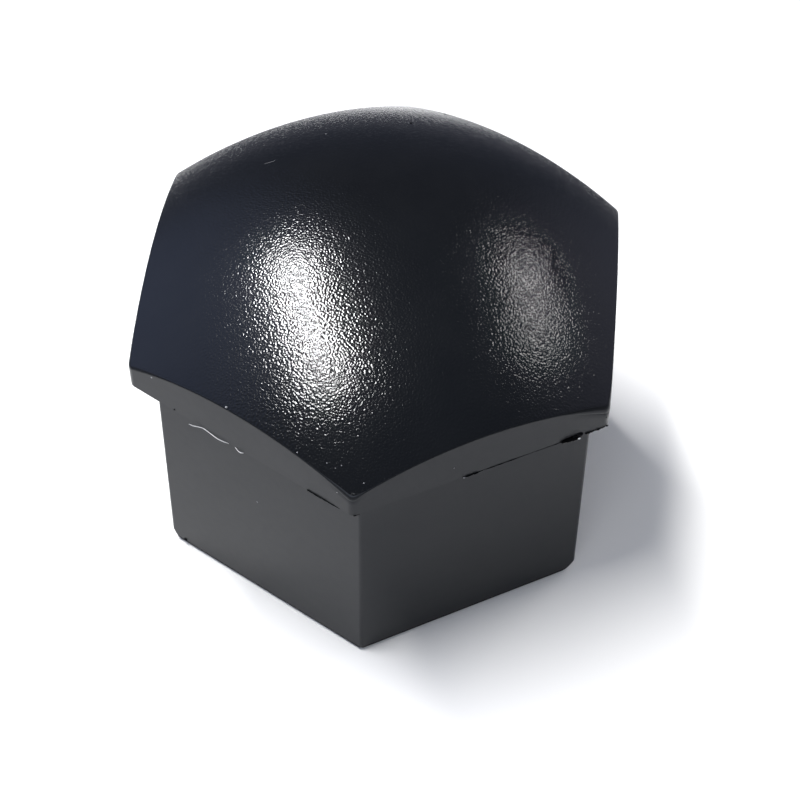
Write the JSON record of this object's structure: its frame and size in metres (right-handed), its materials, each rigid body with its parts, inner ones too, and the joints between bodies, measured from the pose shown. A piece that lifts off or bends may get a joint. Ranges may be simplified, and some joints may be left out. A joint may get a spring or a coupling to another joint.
{
  "type": "wheel nut cover cap",
  "caption": "Black plastic push-on cap that covers a wheel nut or bolt head: hexagonal skirt, wider hexagonal head with a puller ledge, spherical dome, ribbed hexagonal socket.",
  "frame": {"origin": "centre of the open mouth, on the plane that the skirt's rim stands on", "axes": "+Z along the cap's axis towards the dome, +X through a corner of the hexagon"},
  "size_m": [0.0252, 0.022, 0.0179],
  "materials": {
    "cap": "black thermoplastic, finely grained on the dome and satin on the sides"
  },
  "bodies": {
    "root": {"cap": "cap"}
  },
  "joints": []
}
